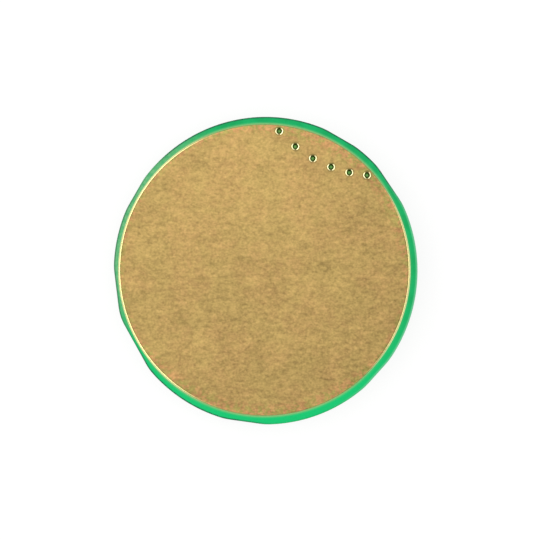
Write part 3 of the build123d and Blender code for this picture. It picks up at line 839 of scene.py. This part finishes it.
def make_laminate():
    shell = Shell()
    rows = []
    for level in range(EDGE_LEVELS + 1):
        share = level / EDGE_LEVELS
        z = component_face + (contact_face - component_face) * share
        in_ply = 0.5 + 0.5 * np.sin(share * PLIES * 2 * math.pi)
        waves = WIDE_TEAR * wave(*WIDE_YARNS, share) * in_ply
        waves = waves + NARROW_TEAR * wave(*NARROW_YARNS, share)
        torn = FIBRE_DEPTH * waves
        ease = min(1.0, EDGE_EASE * share, EDGE_EASE * (1 - share))
        rows.append(shell.ring(outline_ring(z, torn * ease)))
    shell.walls(rows)
    lows, highs = [], []
    for place, radius in via_places:
        low = shell.ring(circle(place, radius, component_face, VIA_STEPS))
        high = shell.ring(circle(place, radius, contact_face, VIA_STEPS))
        shell.wall(low, high)
        lows.append(low)
        highs.append(high)
    shell.cap(rows[0], lows)
    shell.cap(rows[-1], highs)
    add_piece("board_core", shell, "laminate", laminate_edge, LAMINATE_SHARP)


# ---- packages

DRAFT = math.tan(math.radians(8))
BODY_EDGE = 0.045  # rounding of the moulding's top and bottom edges
BODY_EDGE_STEPS = 5
BODY_FLAT = 0.02  # flat rim that keeps the moulding's open faces' shading flat
PARTING_STEP = 0.008  # the two mould halves' small mismatch
PLAN_CORNER = 0.08
CORNER_TIGHTENS = 0.3  # by this much of each inset
SMALLEST_CORNER = 0.03
CORNER_STEPS = 6
DIMPLE_RADIUS = 0.22
DIMPLE_DEPTH = 0.04
DIMPLE_STEPS = 40  # points around the dimple
SAME_LEVEL = 1e-3
DIMPLE_SECTION = (  # beyond its radius, below the moulding's top
    (0.02, 0.0),
    (0.0, 0.0),
    (-0.006, 0.004),
    (-0.012, 0.02),
    (-0.02, DIMPLE_DEPTH - 0.006),
    (-0.04, DIMPLE_DEPTH),
    (-0.09, DIMPLE_DEPTH),
)


def rounded_rectangle(low, high, radius, steps):
    points = []
    left, right = low[0] + radius, high[0] - radius
    near, far = low[1] + radius, high[1] - radius
    for index, (x, y) in enumerate(((right, far), (left, far), (left, near), (right, near))):
        for step in range(steps + 1):
            angle = math.pi / 2 * (index + step / steps)
            points.append(around((x, y), radius, angle))
    return points


def rounded_plan(low, high, inset, z):
    """The moulding's outline, its sides moved in by inset."""
    low, high = (low.x + inset, low.y + inset), (high.x - inset, high.y - inset)
    radius = max(PLAN_CORNER - CORNER_TIGHTENS * inset, SMALLEST_CORNER)
    return [(x, y, z) for x, y in rounded_rectangle(low, high, radius, CORNER_STEPS)]


def dimple_place(node):
    """The middle of the pin 1 dimple: the CAD body's points on its floor."""
    points, _ = node_triangles(node)
    low, _ = corners(node)
    floor = points[np.abs(points[:, 2] - (low.z + DIMPLE_DEPTH)) < SAME_LEVEL]
    middle = (floor.min(0) + floor.max(0)) / 2
    return float(middle[0]), float(middle[1])


def make_package_body(name):
    node = f"{name}_body"
    low, high = corners(node)
    half = (high.z - low.z) / 2
    middle = (high.z + low.z) / 2
    lean = DRAFT * (half - BODY_EDGE)
    levels = [(0.0, 0.0), (0.5 * lean, (half - BODY_EDGE) / 2)]
    for step in range(BODY_EDGE_STEPS + 1):
        turn = math.pi / 2 * step / BODY_EDGE_STEPS
        inset = lean + BODY_EDGE * (1 - math.cos(turn))
        levels.append((inset, half - BODY_EDGE + BODY_EDGE * math.sin(turn)))
    levels.append((lean + BODY_EDGE + BODY_FLAT, half))
    lower = [(inset, middle - up) for inset, up in reversed(levels[1:])]
    upper = [(inset, middle + up) for inset, up in levels]
    shell = Shell()
    rings = [
        shell.ring(rounded_plan(low, high, inset, z))
        for inset, z in (*lower, (PARTING_STEP, middle), *upper)
    ]
    shell.walls(rings)
    shell.cap(rings[-1])
    place = dimple_place(node)
    dimple = [
        shell.ring(circle(place, DIMPLE_RADIUS + out, low.z + down, DIMPLE_STEPS))
        for out, down in DIMPLE_SECTION
    ]
    shell.walls(dimple)
    shell.cap(dimple[-1])
    shell.cap(rings[0], [dimple[0]])
    add_piece(f"{name}_moulding", shell, node, moulding)


BEND_RADIUS = 0.12
BEND_STEPS = 8
LEAD_EDGE = 0.022  # rounding of a lead's edges
LEAD_EDGE_STEPS = 3
LEAD_RAKE = 0.10  # how far a lead runs outwards as it goes down to its foot


def rounded_path(points, radius):
    """A line through points, with its corners turned into arcs."""
    path = [points[0]]
    for before, corner, after in zip(points, points[1:], points[2:]):
        come = (Vector(corner) - Vector(before)).normalized()
        leave = (Vector(after) - Vector(corner)).normalized()
        turn = come.angle(leave)
        back = radius * math.tan(turn / 2)
        start = Vector(corner) - come * back
        normal = (leave - come * leave.dot(come)).normalized()
        centre = start + normal * radius
        for step in range(BEND_STEPS + 1):
            angle = turn * step / BEND_STEPS
            spot = centre - normal * radius * math.cos(angle) + come * radius * math.sin(angle)
            path.append(tuple(spot))
    path.append(points[-1])
    return path


def make_leads(name):
    node = f"{name}_leads"
    foot, thick = PACKAGES[name]
    body_low, body_high = corners(f"{name}_body")
    body_x = (body_low.x + body_high.x) / 2
    shell = Shell()
    for low, high in islands(node):
        side = 1 if (low[0] + high[0]) / 2 > body_x else -1
        inner, tip = (low[0], high[0]) if side > 0 else (high[0], low[0])
        seat = high[2] - thick / 2
        exit_z = low[2] + thick / 2
        ankle = tip - side * foot
        route = [
            (side * inner, -exit_z),
            (side * (ankle - side * LEAD_RAKE), -exit_z),
            (side * ankle, -seat),
            (side * tip, -seat),
        ]
        path = rounded_path(route, BEND_RADIUS)
        middle = (low[1] + high[1]) / 2
        half = ((high[1] - low[1]) / 2, thick / 2)
        section = rounded_rectangle((-half[0], -half[1]), half, LEAD_EDGE, LEAD_EDGE_STEPS)
        rings = []
        for index, (along, up) in enumerate(path):
            nearest = path[max(index - 1, 0)], path[min(index + 1, len(path) - 1)]
            heading = (Vector(nearest[1]) - Vector(nearest[0])).normalized()
            normal = Vector((-heading.y, heading.x))
            ring = []
            for across, rise in section:
                spot = Vector((along, up)) + normal * rise
                ring.append((side * spot.x, middle + across, -spot.y))
            rings.append(shell.ring(ring))
        shell.walls(rings)
        shell.faces += [tuple(rings[0]), tuple(rings[-1])]
    add_piece(f"{name}_pins", shell, node, tin)


# ---- solder

SOLDER_GRID = (26, 16)
SOLDER_SKIN = 0.022  # solder left on a land away from the joint
LAND_ROUNDING = 0.05  # width of the solder's rounded shore
SOLDER_SHORE = 0.004  # height of its upright edge
LEAD_CLIMB = 0.86  # how far solder climbs a lead's foot, of the lead's thickness
LEAD_HOLLOW = 2.3  # how hollow the slope is: 1 is straight
CHIP_HOLLOW = 2.1
CHIP_EDGE_FALL = 0.45  # how much lower the solder ends at a chip's sides
UNDER_CHIP = 0.9  # of the skin, below a chip
JOINT_SHARP = 50  # degrees


def solder_sheet(shell, low, high, height_at):
    """Closed solder over a land from low to high in plan. height_at gives its height."""
    columns, rows = SOLDER_GRID
    seat = high[2]
    top = []
    for i in range(columns + 1):
        for j in range(rows + 1):
            u = 0.5 - 0.5 * math.cos(math.pi * i / columns)
            v = 0.5 - 0.5 * math.cos(math.pi * j / rows)
            x = low[0] + (high[0] - low[0]) * u
            y = low[1] + (high[1] - low[1]) * v
            shore = min(x - low[0], high[0] - x, y - low[1], high[1] - y) / LAND_ROUNDING
            ease = math.sqrt(max(0.0, 1 - (1 - min(shore, 1.0)) ** 2))
            top.append((x, y, seat - max(height_at(x, y) * ease, SOLDER_SHORE)))
    start = shell.ring(top)[0]
    width = rows + 1
    for i in range(columns):
        for j in range(rows):
            a = start + i * width + j
            shell.faces.append((a, a + 1, a + width + 1, a + width))
    border = [i * width for i in range(columns + 1)]
    border += [columns * width + j for j in range(1, rows + 1)]
    border += [i * width + rows for i in range(columns - 1, -1, -1)]
    border += range(rows - 1, 0, -1)
    shore = [start + index for index in border]
    foot = shell.ring([(*shell.points[index][:2], seat) for index in shore])
    shell.wall(shore, foot)
    shell.cap(foot)


def around_foot(low, high, lead, foot, thick):
    """The solder's height on a land from low to high, around the foot of a lead."""
    side = 1 if low[0] + high[0] > lead[0][0] + lead[1][0] else -1
    tip = lead[1][0] if side > 0 else lead[0][0]
    left, right = sorted((tip, tip - side * foot))
    middle = (low[1] + high[1]) / 2
    half = (lead[1][1] - lead[0][1]) / 2

    def height_at(x, y):
        beyond_x = max(left - x, x - right, 0.0)
        room_x = (left - low[0]) if x < left else (high[0] - right)
        beyond_y = max(abs(y - middle) - half, 0.0)
        room_y = (high[1] - low[1]) / 2 - half
        away = min(math.hypot(beyond_x / room_x, beyond_y / room_y), 1.0)
        return SOLDER_SKIN + thick * LEAD_CLIMB * (1 - away) ** LEAD_HOLLOW

    return height_at


def make_lead_solder(name):
    node = f"{name}_solder"
    leads = islands(f"{name}_leads")
    shell = Shell()
    for low, high in islands(node):
        middle = (low + high) / 2
        lead = min(leads, key=lambda box: math.dist(((box[0] + box[1]) / 2)[:2], middle[:2]))
        solder_sheet(shell, low, high, around_foot(low, high, lead, *PACKAGES[name]))
    add_piece(f"{name}_joints", shell, node, solder, JOINT_SHARP)


def at_chip_end(low, high, axis, side, face):
    """The solder's height on a land from low to high, in front of a chip's end face."""
    across = 1 - axis
    outer = high[axis] if side > 0 else low[axis]
    centre = (low[across] + high[across]) / 2
    half = (high[across] - low[across]) / 2
    climb = high[2] - low[2] - SOLDER_SKIN

    def height_at(*place):
        out = side * (place[axis] - face)
        if out < 0:
            return SOLDER_SKIN * UNDER_CHIP
        away = min(out / abs(outer - face), 1.0)
        edge = abs(place[across] - centre) / half
        slope = (1 - away) ** CHIP_HOLLOW * (1 - CHIP_EDGE_FALL * edge**3)
        return SOLDER_SKIN + climb * slope

    return height_at


def make_chip_solder(name):
    node = f"{name}_solder"
    cap_low, cap_high = corners(f"{name}_end_caps")
    upright = (cap_high.y - cap_low.y) > (cap_high.x - cap_low.x)
    axis = 1 if upright else 0
    shell = Shell()
    for low, high in islands(node):
        side = 1 if low[axis] + high[axis] > cap_low[axis] + cap_high[axis] else -1
        face = cap_high[axis] if side > 0 else cap_low[axis]
        solder_sheet(shell, low, high, at_chip_end(low, high, axis, side, face))
    add_piece(f"{name}_joints", shell, node, solder, JOINT_SHARP)


# ---- chips


FLAT_WITHIN = math.radians(1)  # faces nearer to level than this become one
CHIP_SHARP = 40  # degrees
CHIP_EDGE_STEPS = 3
ROUND_PROFILE = 0.5
CERAMIC_EDGE, TERMINAL_EDGE, GLAZE_EDGE = 0.012, 0.014, 0.011


def bevelled_copy(name, node, material, width):
    """A copy of a CAD node with its edges rounded."""
    work = merged_mesh(node)
    bmesh.ops.dissolve_limit(work, angle_limit=FLAT_WITHIN, verts=work.verts, edges=work.edges)
    sharp = [edge for edge in work.edges if edge.calc_face_angle(0) > CORNER_ANGLE]
    bmesh.ops.bevel(
        work,
        geom=sharp,
        offset=width * MM,
        segments=CHIP_EDGE_STEPS,
        profile=ROUND_PROFILE,
        affect="EDGES",
        clamp_overlap=True,
    )
    mesh = bpy.data.meshes.new(name)
    work.to_mesh(mesh)
    work.free()
    finish_piece(name, mesh, node, material, CHIP_SHARP)


def dress(node, material):
    """Gives a CAD node that keeps its own shape its material."""
    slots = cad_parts[node].data.materials
    slots.clear()
    slots.append(material)


make_contact_pad()
make_via_walls()
make_mask_ring()
make_back_mask()
make_laminate()
for package in PACKAGES:
    make_package_body(package)
    make_leads(package)
    make_lead_solder(package)
for chip in CHIPS:
    is_capacitor = chip == "filter_capacitor"
    body = capacitor_ceramic if is_capacitor else alumina
    bevelled_copy(f"{chip}_ceramic", f"{chip}_body", body, CERAMIC_EDGE)
    bevelled_copy(f"{chip}_terminals", f"{chip}_end_caps", tin, TERMINAL_EDGE)
    if not is_capacitor:
        bevelled_copy(f"{chip}_coat", f"{chip}_glaze", glaze, GLAZE_EDGE)
    make_chip_solder(chip)

NETS = (
    *("pack_negative", "cell_negative", "cell_positive", "supply"),
    *("current_sense", "charge_gate", "discharge_gate", "spare_pin"),
)
for net in NETS:
    dress(f"{net}_copper", copper)
dress("legend", ink_material())
dress("battery_negative_land", gold_lands)
dress("battery_positive_land", gold_lands)

# ---- floor, light and camera

FLOOR_HALF = 600.0
FLOOR_PAINT = 0.26  # what the floor scatters, and so how much its shadow shows
FLOOR_GLOW = 0.80  # what brings it up to white, as the camera sees it


def seen_share(nodes):
    """1 for rays from the camera and for rays that reflections and glass send on."""
    path = nodes.node("ShaderNodeLightPath", {})
    kinds = ("Is Camera Ray", "Is Glossy Ray", "Is Transmission Ray")
    return nodes.larger(*(path.outputs[kind] for kind in kinds))


def make_floor():
    mesh = bpy.data.meshes.new("floor")
    half = FLOOR_HALF * MM
    edges = [(-half, -half, 0), (half, -half, 0), (half, half, 0), (-half, half, 0)]
    mesh.from_pydata(edges, [], [(0, 1, 2, 3)])
    made = bpy.data.materials.new("floor_paper")
    made.use_nodes = True
    made.node_tree.nodes.clear()
    nodes = Nodes(made.node_tree)
    strength = nodes.times(seen_share(nodes), FLOOR_GLOW)
    glow = nodes.node("ShaderNodeEmission", {"Strength": strength})
    paper = nodes.node("ShaderNodeBsdfDiffuse", {"Color": (*[FLOOR_PAINT] * 3, 1)})
    total = nodes.node("ShaderNodeAddShader", {0: paper.outputs[0], 1: glow.outputs[0]})
    nodes.node("ShaderNodeOutputMaterial", {"Surface": total.outputs[0]})
    mesh.materials.append(made)
    new_object("floor", mesh)


WORLD_LEVEL = 0.74  # what lights the object from all round


def make_world():
    world = bpy.data.worlds.new("studio")
    bpy.context.scene.world = world
    world.use_nodes = True
    nodes = Nodes(world.node_tree)
    background = nodes.tree.nodes["Background"]
    background.inputs["Color"].default_value = (1, 1, 1, 1)
    inputs = {"Value": seen_share(nodes), "To Min": WORLD_LEVEL, "To Max": 1.0}
    level = nodes.node("ShaderNodeMapRange", inputs)
    nodes.put(background.inputs["Strength"], level.outputs["Result"])


LAMP_DISTANCE = 260.0
LAMP_ELEVATION = 35.0  # degrees
LAMP_SIZE = (150.0, 56.0)
# Azimuth in degrees from +X, and brightness.
LAMPS = (130, 2.2), (163, 2.3), (196, 2.3), (229, 1.8), (345, 1.9), (15, 1.7)


def make_lamps():
    area = LAMP_SIZE[0] * LAMP_SIZE[1] * MM**2
    for index, (azimuth, level) in enumerate(LAMPS, start=1):
        light = bpy.data.lights.new(f"side_softbox_{index}", "AREA")
        light.shape = "RECTANGLE"
        light.size = LAMP_SIZE[0] * MM
        light.size_y = LAMP_SIZE[1] * MM
        light.energy = math.pi * area * level
        lamp = new_object(light.name, light)
        turn, rise = math.radians(azimuth), math.radians(LAMP_ELEVATION)
        level_part = math.cos(rise)
        away = Vector((level_part * math.cos(turn), level_part * math.sin(turn), math.sin(rise)))
        lamp.location = away * LAMP_DISTANCE * MM
        lamp.rotation_euler = away.to_track_quat("Z", "Y").to_euler()


CAMERA_HEIGHT = 78.7  # above the contact face
CAMERA_AT = (0.150, 0.034)
CAMERA_LENS, CAMERA_SENSOR = 100, 36
SEEN_FROM, SEEN_TO = 1, 10000  # the camera's clipping distances


def make_camera():
    lens = bpy.data.cameras.new("camera")
    lens.lens = CAMERA_LENS
    lens.sensor_width = CAMERA_SENSOR
    lens.clip_start = SEEN_FROM * MM
    lens.clip_end = SEEN_TO * MM
    camera = new_object("camera", lens)
    camera.location = Vector((*CAMERA_AT, contact_top + CAMERA_HEIGHT)) * MM
    bpy.context.scene.camera = camera


make_floor()
make_world()
make_lamps()
make_camera()
bpy.context.scene.view_settings.view_transform = "Standard"
